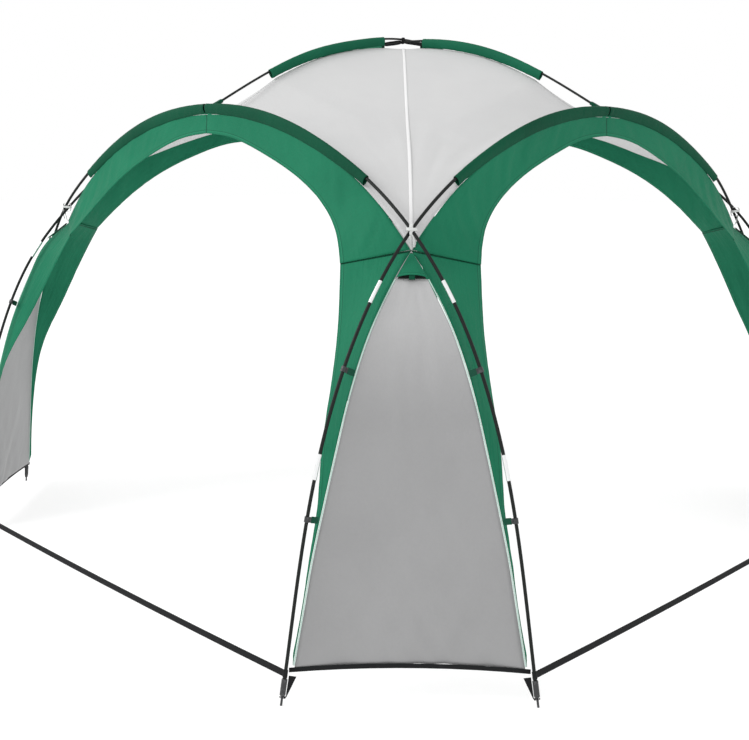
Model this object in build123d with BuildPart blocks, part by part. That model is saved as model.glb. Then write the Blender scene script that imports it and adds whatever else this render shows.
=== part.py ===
"""Dome event shelter: four crossing arch poles, two roof poles, cloth roof, arch visors and four legs.

Millimetres, +Z up, the ground at z = 0 and the centre of the shelter on the Z axis. The sides lie
along X and Y. Each side is drawn once as the front (-Y) side and each leg once as the front right
corner, and both are turned about Z in quarter turns for the others.
"""

import os
from math import pi, sin, sqrt

from build123d import *

# driving dimensions
PLANE = 1155  # distance of each arch's plane from the centre
POLE_R, ROOF_POLE_R = 6.0, 4.75
FERRULE_R, ROOF_FERRULE_R = 7.1, 5.7
FERRULE_LENGTH = 85
SECTION = 611  # from one arch ferrule to the next
CLOTH = 1.2  # cloth thickness
WEB = 1.6  # webbing thickness
LIFT, SPREAD = 5.5, 6.5  # how far crossing poles pass over and outside each other

# one arch from its top to its foot: along the side, and up
ARCH = [(0, 1967), (405, 1921), (809, 1764), (945, 1686), (1155, 1523), (1347, 1300),
        (1511, 996), (1626, 640), (1696, 300), (1750, 4)]
SLEEVE_END = 935  # along the side, where the arch sleeve stops
# one roof pole from the apex to the arch: outwards, and up
ROOF = [(0, 2315), (289, 2290), (578, 2222), (867, 2100), (1118, 1968)]
ROOF_SLEEVE = (105, 815)  # outwards, where a roof sleeve starts and stops

# free edge of an opening, from the middle of the arch to the leg: along, outwards, up
VISOR_EDGE = [(0.5, 1157, 1859), (150, 1159, 1844), (364, 1166, 1783), (653, 1176, 1655),
              (829, 1212, 1521), (928, 1275, 1401)]
LEG_EDGE = [(928, 1275, 1401), (1001, 1353, 1203), (1063, 1446, 996), (1118, 1537, 803),
            (1145, 1579, 640), (1152, 1622, 470), (1153, 1658, 300), (1147, 1690, 160)]
# leg seams in the corner's own frame: half width across, outwards, up
KNOT = (0, 1628, 1455)  # where roof, visors and leg meet under the crossing
LEG_SEAM = [(56, 1716, 1365), (137, 1793, 1200), (204, 1865, 996), (250, 1914, 803),
            (286, 1946, 640), (322, 1973, 470), (351, 1996, 300), (381, 2019, 124)]
HEM_RISE = 16  # how far the leg panel's hem bows up in the middle
STRAP_Z = 105  # height of the webbing at the feet

SIDES = ("front", "right", "back", "left")
CORNERS = ("front_right", "back_right", "back_left", "front_left")

os.makedirs("parts", exist_ok=True)


def corner(across, out, up):
    """Point at the front right corner from its own across, outward and up distances."""
    return Vector((out + across) / sqrt(2), (across - out) / sqrt(2), up)


def turned(shape, quarter):
    return shape.rotate(Axis.Z, 90 * (quarter % 4))


def save(shape, label):
    shape.label = label
    export_step(shape, f"parts/{label}.step")


def spline(points):
    return Spline(*[Vector(*p) for p in points])


def ring_sweep(path, outer, inner=None, sides=None):
    """Round or many-sided rod, or tube, along a path."""
    with BuildPart() as rod:
        with BuildLine() as line:
            add(path)
        with BuildSketch(Plane(path @ 0, z_dir=path % 0)):
            RegularPolygon(outer, sides) if sides else Circle(outer)
            if inner:
                Circle(inner, mode=Mode.SUBTRACT)
        sweep(path=line.line)
    return rod.part


def cloth(face, facing):
    """Thin sheet from a face, with its thickness along one direction."""
    facing = Vector(*facing).normalized()
    with BuildPart() as sheet:
        extrude(face.moved(Location(facing * (-CLOTH / 2))), amount=CLOTH, dir=facing)
    return sheet.part


def ruled(edge_a, edge_b, facing):
    """Thin sheet ruled between two smooth edges."""
    return cloth(Face.make_surface_from_curves(spline(edge_a), spline(edge_b)), facing)


def spans(length, ends):
    """Start and end fractions of the pole sections between ferrule centres."""
    cuts = [0] + ends + [length]
    gap = 0.5
    return [((a + (gap if a else 0)) / length, (b - (gap if b < length else 0)) / length)
            for a, b in zip(cuts, cuts[1:])]


# arch poles and their ferrules
half = ARCH[:0:-1]
arch_path = []
for k in range(4):
    over = 1 if k % 2 == 0 else -1  # front and back arches cross outside the side ones
    pts = []
    for s, z in [(-s, z) for s, z in half] + ARCH:
        at_crossing = abs(s) == PLANE
        pts.append((s, -PLANE - (SPREAD * over if at_crossing else 0), z + (LIFT * over if at_crossing else 0)))
    arch_path.append(spline(pts))

ferrules = []
for k, side in enumerate(SIDES):
    path = arch_path[k]
    middle = path.length / 2
    joints = [middle + SECTION * (n + 0.5) for n in range(-4, 4)]
    with BuildPart() as arch_pole:
        cut = 46  # the rod stops inside the foot cap
        for a, b in spans(path.length, joints):
            a, b = max(a, cut / path.length), min(b, 1 - cut / path.length)
            add(ring_sweep(path.trim(a, b), POLE_R))
    save(turned(arch_pole.part, k), f"arch_pole_{side}")
    for at in joints:
        bit = path.trim((at - FERRULE_LENGTH / 2) / path.length, (at + FERRULE_LENGTH / 2) / path.length)
        ferrules.append(turned(ring_sweep(bit, FERRULE_R, POLE_R + 0.08), k))
save(Compound(children=ferrules), "arch_ferrules")

# roof poles, one over the other at the apex
roof_ferrules = []
roof_path = []
for k in range(2):
    lift = LIFT if k == 0 else -LIFT
    pts = [(0, -y, z) for y, z in ROOF[:0:-1]] + [(0, 0, ROOF[0][1] + lift)] + [(0, y, z) for y, z in ROOF[1:]]
    path = spline(pts)
    roof_path.append(path)
    joints = [path.length / 2 + 480 * n for n in (-1.5, -0.5, 0.5, 1.5)]
    with BuildPart() as roof_pole:
        for a, b in spans(path.length, joints):
            add(ring_sweep(path.trim(a, b), ROOF_POLE_R))
    save(turned(roof_pole.part, k), ("roof_pole_front_back", "roof_pole_left_right")[k])
    for at in joints:
        bit = path.trim((at - 35) / path.length, (at + 35) / path.length)
        roof_ferrules.append(turned(ring_sweep(bit, ROOF_FERRULE_R, ROOF_POLE_R + 0.08), k))
save(Compound(children=roof_ferrules), "roof_ferrules")


def sleeve(path, wide, tall, drop):
    """Flat cloth sleeve hanging from a pole that runs along its top."""
    plane = Plane(path @ 0, x_dir=(path % 0).cross(Vector(0, 0, 1)), z_dir=path % 0)
    down = drop if plane.y_dir.Z < 0 else -drop
    with BuildPart() as tube:
        with BuildLine() as line:
            add(path)
        with BuildSketch(plane):
            with Locations((0, down)):
                Ellipse(wide + CLOTH, tall + CLOTH)
                Ellipse(wide, tall, mode=Mode.SUBTRACT)
        sweep(path=line.line)
    return tube.part


def fraction(path, axis, value):
    """Length fraction at which the second half of a path reaches a distance along an axis."""
    low, high = 0.5, 1.0
    way = 1 if getattr(path @ high, axis) > getattr(path @ low, axis) else -1
    for _ in range(40):
        mid = (low + high) / 2
        low, high = (mid, high) if getattr(path @ mid, axis) * way < value * way else (low, mid)
    return low


for k, side in enumerate(SIDES):
    path = arch_path[k % 2]
    end = fraction(path, "X", SLEEVE_END)
    start = 0.5 + 0.6 / path.length
    with BuildPart() as arch_sleeve:
        add(sleeve(path.trim(start, end), 9.4, 18.6, 10))
        mirror(about=Plane.YZ)
    save(turned(arch_sleeve.part, k), f"arch_sleeve_{side}")

for k, side in enumerate(SIDES):
    path = roof_path[k % 2]
    start, end = (fraction(path, "Y", y) for y in ROOF_SLEEVE)
    with BuildPart() as roof_sleeve:
        add(sleeve(path.trim(start, end), 8.6, 20.5, 13))
    save(turned(roof_sleeve.part, k + 2), f"roof_sleeve_{side}")

# roof cloth: one square quarter per corner, in two halves along its diagonal
SAG = 0.14  # share of the quarter's width that the middle hangs below a plain dome
EDGE = PLANE - 1.4


def along(table, s):
    """Height of a design curve at a distance, by a smooth local cubic."""
    xs = [p[0] for p in table]
    i = max(0, min(len(xs) - 2, sum(x <= s for x in xs) - 1))

    def slope(j):
        a, b = max(j - 1, 0), min(j + 1, len(xs) - 1)
        return 0 if j == 0 else (table[b][1] - table[a][1]) / (xs[b] - xs[a])

    (x0, z0), (x1, z1) = table[i], table[i + 1]
    w, t = x1 - x0, (s - x0) / (x1 - x0)
    return (z0 * (2 * t**3 - 3 * t**2 + 1) + z1 * (3 * t**2 - 2 * t**3)
            + w * slope(i) * (t**3 - 2 * t**2 + t) + w * slope(i + 1) * (t**3 - t**2))


roof_under = []  # cloth height right under the lower of the two roof poles' sleeves
for y in range(0, 1033, 86):
    spots = [(path, fraction(path, "Y", y) if y else 0.5) for path in roof_path]
    roof_under.append((y, min((path @ at).Z - 36.4 / abs((path % at).Y) for path, at in spots)))
roof_under.append((EDGE, ARCH[0][1] - 33))


def roof_top(v):
    """Roof cloth height under a roof pole, from the apex (0) to the arch (1)."""
    return along(roof_under, v * EDGE) - 24 * sin(pi * min(1, max(0, (v - 0.68) / 0.32)))


def roof_rim(u):
    """Roof cloth height along an arch, from its middle (0) to the corner (1)."""
    return along(ARCH, u * PLANE) - 33 - 34 * u**7


def roof_height(u, v):
    apex, top, low = roof_top(0), roof_rim(0), roof_rim(1)
    coons = ((1 - u) * roof_top(v) + u * roof_rim(v) + (1 - v) * roof_top(u) + v * roof_rim(u)
             - ((1 - u) * (1 - v) * apex + (u + v - 2 * u * v) * top + u * v * low))
    return coons - SAG * PLANE * 16 * u * (1 - u) * v * (1 - v)


STEPS = 14
grid = []
for i in range(STEPS + 1):
    row = []
    for j in range(STEPS + 1):
        u, v = i / STEPS, j / STEPS
        row.append(Vector(0.4 + u * (EDGE - 0.4), -0.4 - v * (EDGE - 0.4), roof_height(u, v)))
    grid.append(row)
roof_quarter = cloth(Face.make_surface_from_array_of_points(grid, tol=0.05), (0, 0, 1))
diagonal = Plane((0, 0, 0), x_dir=(0, 0, 1), z_dir=(1, 1, 0))
panel_halves = [split(roof_quarter, bisect_by=diagonal.offset(gap), keep=keep)
                for gap, keep in ((0.3, Keep.TOP), (-0.3, Keep.BOTTOM))]
for k, name in enumerate(CORNERS):
    save(Compound(children=[turned(h, k) for h in panel_halves]), f"roof_panel_{name}")

tapes = []
tape_line = [(t * EDGE, -t * EDGE, roof_height(t, t) + 2.5) for t in [0.055 + 0.925 * n / 16 for n in range(17)]]
with BuildPart() as seam_tape:
    with BuildLine() as line:
        run = spline(tape_line)
    with BuildSketch(Plane(run @ 0, x_dir=(1, 1, 0), z_dir=run % 0)):
        Rectangle(12, 1)
    sweep(path=line.line)
save(Compound(children=[turned(seam_tape.part, k) for k in range(4)]), "seam_tapes")

# visors: the green strips hanging from the arch sleeves, in two halves with a seam in the middle
knot = corner(*KNOT)
visor_top = [(s, -PLANE, roof_rim(s / PLANE) - 2 - 3 * (s / 1060) ** 6) for s in (0.5, 160, 405, 809, 945, 1060)]
visor_top.append((knot.X - 1.5, knot.Y - 1.5, knot.Z + 1))
visor_low = [(s, -y, z) for s, y, z in VISOR_EDGE]
visor_half = ruled(visor_top, visor_low, (0, -1, 0))
for k, side in enumerate(SIDES):
    with BuildPart() as visor:
        add(visor_half)
        mirror(about=Plane.YZ)
    save(turned(visor.part, k), f"visor_{side}")

# legs: two green strips and a grey panel between piped seams
seam_pts = [tuple(corner(-a, r, z)) for a, r, z in LEG_SEAM]
strip_in = [tuple(corner(-4, KNOT[1] - 1, KNOT[2] - 5)), tuple(corner(-31, 1669, 1410))]
strip_in += [tuple(corner(-a - 3.6, r - 1, z)) for a, r, z in LEG_SEAM]
strip_out = [(s, -y, z) for s, y, z in LEG_EDGE]
strip_out[0] = (928, -1275, 1398.5)
mirror_plane = Plane((0, 0, 0), x_dir=(0, 0, 1), z_dir=(1, 1, 0))
leg_strip = ruled(strip_in, strip_out, (0.14, -0.99, 0))
leg_pair = [leg_strip, leg_strip.mirror(mirror_plane)]
panel_left = [tuple(corner(-a + 3, r, z)) for a, r, z in LEG_SEAM]
panel_left[-1] = tuple(corner(-381 + 3, 2020.5, 112))
panel_right = [tuple(corner(a - 3, r, z)) for a, r, z in LEG_SEAM]
panel_right[-1] = tuple(corner(381 - 3, 2020.5, 112))
out_dir = Vector(1, -1, 0).normalized()
across_dir = Vector(1, 1, 0).normalized()
front_plane = Plane((0, 0, 0), x_dir=across_dir, z_dir=out_dir)  # local y is up
with BuildPart() as below_hem:
    with BuildSketch(front_plane.offset(1800)):
        with BuildLine():
            bow = ThreePointArc((-430, 119), (0, 122 + HEM_RISE), (430, 119))
            Polyline(bow @ 1, (430, 0), (-430, 0), bow @ 0)
        make_face()
    extrude(amount=400)
with BuildPart() as corner_panel:
    add(ruled(panel_left, panel_right, out_dir))
    add(below_hem.part, mode=Mode.SUBTRACT)
piping = ring_sweep(spline([tuple(corner(-a, r + 0.3, z)) for a, r, z in LEG_SEAM]), 2.2, sides=8)
for k, name in enumerate(CORNERS):
    save(Compound(children=[turned(s, k) for s in leg_pair]), f"leg_strips_{name}")
    save(turned(corner_panel.part, k), f"corner_panel_{name}")
save(Compound(children=[turned(p, k) for k in range(4) for p in (piping, piping.mirror(mirror_plane))]),
     "leg_piping")

# hem webbing, bowed up in the middle, from foot to foot
hem_at = corner(0, 2021.5, 0)
hem_plane = Plane((hem_at.X, hem_at.Y, 0), x_dir=across_dir, z_dir=out_dir)
with BuildPart() as hem:
    with BuildSketch(hem_plane):
        with BuildLine():
            top = ThreePointArc((-397, 117), (0, 119 + HEM_RISE), (397, 117))
            low = ThreePointArc((-397, 101), (0, 103 + HEM_RISE), (397, 101))
            Line(top @ 0, low @ 0)
            Line(top @ 1, low @ 1)
        make_face()
    extrude(amount=WEB)
save(Compound(children=[turned(hem.part, k) for k in range(4)]), "hem_webbing")

# vents under each crossing: a mesh triangle with a cloth hood over it
slope = corner(0, 1716, 1365) - corner(0, KNOT[1], KNOT[2])
vent_plane = Plane(corner(0, KNOT[1], KNOT[2]), x_dir=across_dir, z_dir=across_dir.cross(slope.normalized()))
if vent_plane.z_dir.dot(out_dir) < 0:
    vent_plane = Plane(vent_plane.origin, x_dir=-across_dir, z_dir=-vent_plane.z_dir)
side_sign = 1 if vent_plane.y_dir.Z > 0 else -1
LONG = slope.length
with BuildPart() as vent_mesh:
    with BuildSketch(vent_plane.offset(-0.6)):
        Polygon((-3, -12 * side_sign), (3, -12 * side_sign), (48, -(LONG - 2) * side_sign),
                (-48, -(LONG - 2) * side_sign), align=None)
    extrude(amount=0.8)
save(Compound(children=[turned(vent_mesh.part, k) for k in range(4)]), "vent_mesh")

HOOD_TILT = 9  # degrees the hood stands open
hinge_at = vent_plane.from_local_coords(Vector(0, -16 * side_sign, 5.2))
hood_y = -vent_plane.y_dir.rotate(Axis((0, 0, 0), tuple(vent_plane.x_dir)),
                                  -HOOD_TILT if side_sign > 0 else HOOD_TILT) * side_sign
if (hood_y.Z > 0):
    hood_y = hood_y * -1
hood_plane = Plane(hinge_at, x_dir=across_dir, z_dir=hood_y.cross(across_dir))
flip = 1 if hood_plane.y_dir.dot(hood_y) > 0 else -1
HOOD = LONG - 19
with BuildPart() as vent_hood:
    with BuildSketch(hood_plane):
        with BuildLine():
            mouth = ThreePointArc((-46, flip * HOOD), (0, flip * (HOOD - 6)), (46, flip * HOOD))
            Polyline(mouth @ 1, (7, flip * 2), (-7, flip * 2), mouth @ 0)
        make_face()
    extrude(amount=CLOTH)
    with BuildSketch(hood_plane.offset(-0.4 - WEB)):
        with Locations((0, flip * (HOOD + 1))):
            Rectangle(23, 26)
    extrude(amount=WEB)
for k, name in enumerate(CORNERS):
    save(turned(vent_hood.part, k), f"vent_hood_{name}")

# clips: short straps from the piped seams to the poles, each with a plastic hook on the pole
straps, hooks = [], []


def place(shape, kind):
    """A piece made at the front arch's right end, copied to both ends of both arches of its kind."""
    return [turned(x, q) for q in (kind, kind + 2) for x in (shape, shape.mirror(Plane.YZ))]


for kind in (0, 1):
    path = arch_path[kind]
    for height, (a, r) in {1085: (174, 1834), 610: (292, 1951)}.items():
        at = fraction(path, "Z", height)
        pole_at, tangent = path @ at, (path % at) * -1
        reach = corner(a, r, height) - pole_at
        reach = reach - tangent * reach.dot(tangent)
        gap = reach.length
        plane = Plane(pole_at, x_dir=reach, z_dir=tangent)
        with BuildPart() as hook:
            with BuildSketch(plane.offset(-9)):
                Circle(POLE_R + 3.2)
                with Locations((10.5, 0)):
                    Rectangle(7, 5)
                Circle(POLE_R + 0.15, mode=Mode.SUBTRACT)
            extrude(amount=18)
        with BuildPart() as strap:
            with BuildSketch(plane.offset(-11)):
                with Locations(((14.3 + gap - 10) / 2, 0)):
                    Rectangle(gap - 10 - 14.3, 1.8)
            extrude(amount=22)
        hooks += place(hook.part, kind)
        straps += place(strap.part, kind)
save(Compound(children=hooks), "clip_hooks")
save(Compound(children=straps), "clip_straps")

# feet: a cap with a narrow tip on each pole end, a ring round the tip and a webbing tail
RING_R, RING_Z = 8.2, 24
caps, tails, loops = [], [], []
for kind in (0, 1):
    path = arch_path[kind]
    foot = path @ 1
    axis_up = (path @ (1 - 90 / path.length) - foot).normalized()
    inward = corner(-1, 0, 0)  # from this foot towards the middle of its leg panel
    foot_plane = Plane(foot, x_dir=inward, z_dir=axis_up)
    with BuildPart() as cap:
        with BuildSketch(Plane(foot, x_dir=foot_plane.x_dir, z_dir=-foot_plane.y_dir)):
            with BuildLine():
                Polyline((0, -7), (3.4, -5.6), (4, -3), (4, 27), (9.8, 32), (9.8, 84), (8.6, 86),
                         (POLE_R + 0.2, 86), (POLE_R + 0.2, 45), (0, 45), (0, -7))
            make_face()
        revolve(axis=Axis(tuple(foot), tuple(axis_up)))
        with Locations((foot.X, foot.Y, -20)):
            Box(40, 40, 40, mode=Mode.SUBTRACT)
    ring_plane = Plane(foot + axis_up * RING_Z, x_dir=foot_plane.x_dir, z_dir=axis_up)
    with BuildPart(ring_plane) as foot_ring:
        Torus(RING_R, 1.5)
    ring_side = ring_plane.origin + ring_plane.x_dir * RING_R
    tail_plane = Plane(ring_side, x_dir=ring_plane.x_dir, z_dir=-ring_plane.y_dir)  # local y is up
    with BuildPart() as tail:
        with BuildSketch(tail_plane.offset(-1)):
            Polygon((2.6, 1.5), (5.2, 1), (29, 74), (4, 74), (3.2, 8), align=None)
        extrude(amount=2)
        with BuildSketch(tail_plane.offset(-2.5)):
            Circle(3.6)
        extrude(amount=5)
        with BuildSketch(tail_plane.offset(-2.6)):
            Circle(2.1)
        extrude(amount=5.2, mode=Mode.SUBTRACT)
    caps += place(cap.part, kind)
    tails += place(tail.part, kind)
    # the arch's right end is foot b of its corner seen from outside, its left end is foot a
    right_end, left_end = foot_ring.part, foot_ring.part.mirror(Plane.YZ)
    for quarter in (kind, kind + 2):
        save(turned(right_end, quarter), f"foot_ring_{CORNERS[quarter]}_b")
        save(turned(left_end, quarter), f"foot_ring_{CORNERS[quarter - 1]}_a")
    # loop of a ground strap round the pole just above the cap
    at = path @ fraction(path, "Z", STRAP_Z)
    lean = (path % fraction(path, "Z", STRAP_Z)) * -1
    with BuildPart() as loop_end:
        with BuildSketch(Plane(at - lean * 12, x_dir=(0, 1, 0), z_dir=lean)):
            Circle(POLE_R + 0.4 + WEB)
            Circle(POLE_R + 0.3, mode=Mode.SUBTRACT)
        extrude(amount=24)
    loops.append(loop_end.part)
save(Compound(children=caps), "foot_caps")
save(Compound(children=tails), "webbing_tails")

# ground straps: webbing along the front and right sides between the loops on both poles
for k, side in enumerate(SIDES[:2]):
    kind = (k + 1) % 2  # a side's straps are on the feet of the two arches that cross it
    loop = loops[kind].rotate(Axis.Z, -90)
    end = at.rotate(Axis.Z, -90)
    rise = lean.rotate(Axis.Z, -90)
    reach = abs(end.X) - POLE_R - 1.2  # the strap ends inside the walls of its two loops
    strap_line = [(-reach, end.Y, end.Z), (-reach / 2, end.Y, end.Z - 9), (0, end.Y, end.Z - 12),
                  (reach / 2, end.Y, end.Z - 9), (reach, end.Y, end.Z)]
    with BuildPart() as ground_strap:
        with BuildLine() as line:
            run = spline(strap_line)
        with BuildSketch(Plane(run @ 0, x_dir=(0, rise.Y, rise.Z), z_dir=run % 0)):
            Rectangle(23, WEB)
        sweep(path=line.line)
        add(loop)
        add(loop.mirror(Plane.YZ))
    save(turned(ground_strap.part, k), f"ground_strap_{side}")

# ties: a tape loop round each crossing with its tail down to the cloth, and a bow at the apex
norm = out_dir * -0.816 + Vector(0, 0, -0.577)
cross_at = corner(0, PLANE * sqrt(2), ARCH[4][1])
tie_plane = Plane(cross_at, x_dir=norm, z_dir=across_dir)
with BuildPart() as tie:
    with BuildSketch(tie_plane.offset(-3)):
        RectangleRounded(37, 47, 7)
        RectangleRounded(34.6, 44.6, 6, mode=Mode.SUBTRACT)
    extrude(amount=6)
    with BuildSketch(Plane(corner(0, 1636, 0), x_dir=across_dir, z_dir=out_dir)):
        Polygon((-9, 1500), (9, 1500), (3, 1458), (-3, 1458), align=None)
    extrude(amount=1.2)
save(Compound(children=[turned(tie.part, k) for k in range(4)]), "crossing_ties")

apex = Vector(0, 0, ROOF[0][1])
with BuildPart() as apex_tie:
    with BuildSketch(Plane(apex, x_dir=(1, 1, 0), z_dir=(1, -1, 0)).offset(-4)):
        RectangleRounded(34, 26, 8)
        RectangleRounded(31, 23, 6.8, mode=Mode.SUBTRACT)
    extrude(amount=8)
    for turn in (0, 180):
        with BuildSketch(Plane(apex, x_dir=(1, 1, 0), z_dir=(1, -1, 0)).rotated((0, 0, 0)).offset(-4)):
            with Locations(Location((55 if turn == 0 else -55, -15), -9 if turn == 0 else 9)):
                Ellipse(40, 7)
                Ellipse(38.6, 5.6, mode=Mode.SUBTRACT)
        extrude(amount=8)
save(apex_tie.part, "apex_tie")

# pockets that hold the roof pole ends against the arches
path = roof_path[0]
tip, heading = path @ 0, path % 0
with BuildPart() as pocket:
    with BuildSketch(Plane(tip - heading * 2.5, x_dir=(1, 0, 0), z_dir=heading)):
        Rectangle(24, 15)
    with BuildSketch(Plane(tip + heading * 52, x_dir=(1, 0, 0), z_dir=heading)):
        Rectangle(13, 13)
    loft()
    with BuildSketch(Plane(tip, x_dir=(1, 0, 0), z_dir=heading)):
        Circle(ROOF_POLE_R + 0.1)
    extrude(amount=80, mode=Mode.SUBTRACT)
save(Compound(children=[turned(pocket.part, k) for k in range(4)]), "pole_pockets")
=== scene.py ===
import math

import bpy
import numpy as np
from mathutils import Matrix, Vector, noise


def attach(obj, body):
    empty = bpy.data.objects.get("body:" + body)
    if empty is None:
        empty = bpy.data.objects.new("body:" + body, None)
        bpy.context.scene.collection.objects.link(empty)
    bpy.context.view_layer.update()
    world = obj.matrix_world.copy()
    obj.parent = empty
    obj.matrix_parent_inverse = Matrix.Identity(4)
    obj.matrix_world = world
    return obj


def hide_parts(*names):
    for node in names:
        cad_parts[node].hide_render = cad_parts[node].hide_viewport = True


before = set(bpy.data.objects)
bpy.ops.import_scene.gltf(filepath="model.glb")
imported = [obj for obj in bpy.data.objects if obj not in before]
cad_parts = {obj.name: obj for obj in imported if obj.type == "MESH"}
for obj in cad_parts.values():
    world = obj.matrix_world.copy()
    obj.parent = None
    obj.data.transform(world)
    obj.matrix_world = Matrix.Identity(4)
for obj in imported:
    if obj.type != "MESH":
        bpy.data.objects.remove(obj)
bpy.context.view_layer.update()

MM = 0.001
SIDES = ("front", "right", "back", "left")
CORNERS = ("front_right", "back_right", "back_left", "front_left")
ROOT2 = math.sqrt(2)

# design curves of the shelter, in millimetres, the same as the CAD model's
PLANE = 1155
ARCH = [(0, 1967), (405, 1921), (809, 1764), (945, 1686), (1155, 1523), (1347, 1300),
        (1511, 996), (1626, 640), (1696, 300), (1750, 4)]
ROOF = [(0, 2315), (289, 2290), (578, 2222), (867, 2100), (1118, 1968)]
SLEEVE_END = 935
ROOF_SLEEVE = (105, 815)
ROOF_SLEEVE_SEEN = (130, 820)  # the cloth ends a little short of the crossing poles
LIFT, SPREAD = 5.5, 6.5  # how far crossing poles stand apart, upward and sideways, each from the middle
SAG = 0.14
EDGE = PLANE - 1.4  # the roof cloth's rim, just inside the plane of the arch
# rows of a free edge: along the side, out from the centre, up
VISOR_EDGE = [(0, 1157, 1859), (150, 1159, 1844), (364, 1166, 1783), (653, 1176, 1655),
              (829, 1212, 1521), (928, 1275, 1401)]
LEG_EDGE = [(928, 1275, 1401), (1001, 1353, 1203), (1063, 1446, 996), (1118, 1537, 803),
            (1145, 1579, 640), (1152, 1622, 470), (1153, 1658, 300), (1147, 1690, 160)]
# across the corner, out from the centre along the diagonal, up
KNOT = (0, 1628, 1455)  # where the visors' seams meet under a crossing
LEG_SEAM = [(56, 1716, 1365), (137, 1793, 1200), (204, 1865, 996), (250, 1914, 803),
            (286, 1946, 640), (322, 1973, 470), (351, 1996, 300), (381, 2019, 124)]
HEM_UP, HEM_RISE = 112, 20  # a leg panel's lower edge at its ends, and how much higher its middle is
ARCH_DROP = 33  # from the centre of an arch pole down to the roof cloth and the visor's top edge


# ---------------------------------------------------------------- curves and cloth shapes


def corner(across, out, up):
    """Point at the front right corner from its own across, outward and up distances."""
    return ((out + across) / ROOT2, (across - out) / ROOT2, up)


def smooth_curve(points, count):
    """Points along a natural cubic spline through the given ones, evenly spaced in its parameter."""
    p = np.array(points, float)
    t = np.concatenate([[0], np.cumsum(np.linalg.norm(np.diff(p, axis=0), axis=1))])
    h = np.diff(t)
    n = len(p)
    a = np.zeros((n, n))
    b = np.zeros((n, p.shape[1]))
    a[0, 0] = a[-1, -1] = 1
    for i in range(1, n - 1):
        a[i, i - 1:i + 2] = h[i - 1], 2 * (h[i - 1] + h[i]), h[i]
        b[i] = 6 * ((p[i + 1] - p[i]) / h[i] - (p[i] - p[i - 1]) / h[i - 1])
    m = np.linalg.solve(a, b)
    s = np.linspace(0, t[-1], count)
    i = np.clip(np.searchsorted(t, s, side="right") - 1, 0, n - 2)
    d0, d1, w = (s - t[i])[:, None], (t[i + 1] - s)[:, None], h[i][:, None]
    return (m[i] * d1**3 + m[i + 1] * d0**3) / (6 * w) + (p[i] / w - m[i] * w / 6) * d1 \
        + (p[i + 1] / w - m[i + 1] * w / 6) * d0


def along(table, s, level_start=True):
    """Value of a table of (place, value) rows at a place, by a smooth local cubic."""
    xs = [q[0] for q in table]
    i = max(0, min(len(xs) - 2, sum(x <= s for x in xs) - 1))

    def slope(j):
        a, b = max(j - 1, 0), min(j + 1, len(xs) - 1)
        return 0 if level_start and j == 0 else (table[b][1] - table[a][1]) / (xs[b] - xs[a])

    (x0, z0), (x1, z1) = table[i], table[i + 1]
    w, t = x1 - x0, (s - x0) / (x1 - x0)
    return (z0 * (2 * t**3 - 3 * t**2 + 1) + z1 * (3 * t**2 - 2 * t**3)
            + w * slope(i) * (t**3 - 2 * t**2 + t) + w * slope(i + 1) * (t**3 - t**2))


def turned(points, quarter):
    """Points turned by quarter turns about the Z axis."""
    p = np.array(points, float)
    for _ in range(quarter % 4):
        p = np.stack([-p[..., 1], p[..., 0], p[..., 2]], axis=-1)
    return p


def lengths(points):
    """Distance along a row of points."""
    return np.concatenate([[0], np.cumsum(np.linalg.norm(np.diff(points, axis=0), axis=1))])


def fractal(x, y, seed, octaves=2):
    """Smooth repeatable noise from about -1 to 1."""
    total, amp = 0.0, 1.0
    for n in range(octaves):
        total += amp * noise.noise(Vector((x * 2**n, y * 2**n, seed * 7.31 + n * 3.7)))
        amp *= 0.5
    return total


def normals(grid):
    """Unit normals of a grid of points."""
    du, dv = np.gradient(grid, axis=0), np.gradient(grid, axis=1)
    n = np.cross(du, dv)
    return n / np.maximum(np.linalg.norm(n, axis=-1, keepdims=True), 1e-9)


def outward(grid):
    """Unit normals of a sheet on the front of the shelter, all turned to the outside."""
    out = normals(grid)
    return out * np.where(out[..., 1:2] > 0, -1, 1)


def edge_uv(run, drop):
    """Sheet coordinates in metres: distance along the free edge, and distance in from it."""
    return np.stack([np.repeat(run[:, None], drop.shape[1], 1), drop], axis=-1) * MM


def make_grid(name, grid, material, uv, thick=0.0012, ring=False):
    """A sheet from a grid of points in metres; ring joins the grid's last row to its first."""
    n, m = grid.shape[:2]
    verts = grid.reshape(-1, 3)
    faces = []
    rows = n if ring else n - 1
    for i in range(rows):
        for j in range(m - 1):
            a, b = i * m + j, ((i + 1) % n) * m + j
            faces.append((a, b, b + 1, a + 1))
    mesh = bpy.data.meshes.new(name)
    mesh.from_pydata(verts.tolist(), [], faces)
    layer = mesh.uv_layers.new(name="UVMap")
    flat = uv.reshape(-1, 2)
    for poly in mesh.polygons:
        for loop in poly.loop_indices:
            layer.data[loop].uv = flat[mesh.loops[loop].vertex_index]
    mesh.polygons.foreach_set("use_smooth", [True] * len(mesh.polygons))
    mesh.update()
    obj = bpy.data.objects.new(name, mesh)
    bpy.context.collection.objects.link(obj)
    mesh.materials.append(material)
    solid = obj.modifiers.new("cloth", "SOLIDIFY")
    solid.thickness = thick
    solid.offset = 0
    return obj


# ---------------------------------------------------------------- materials


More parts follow.
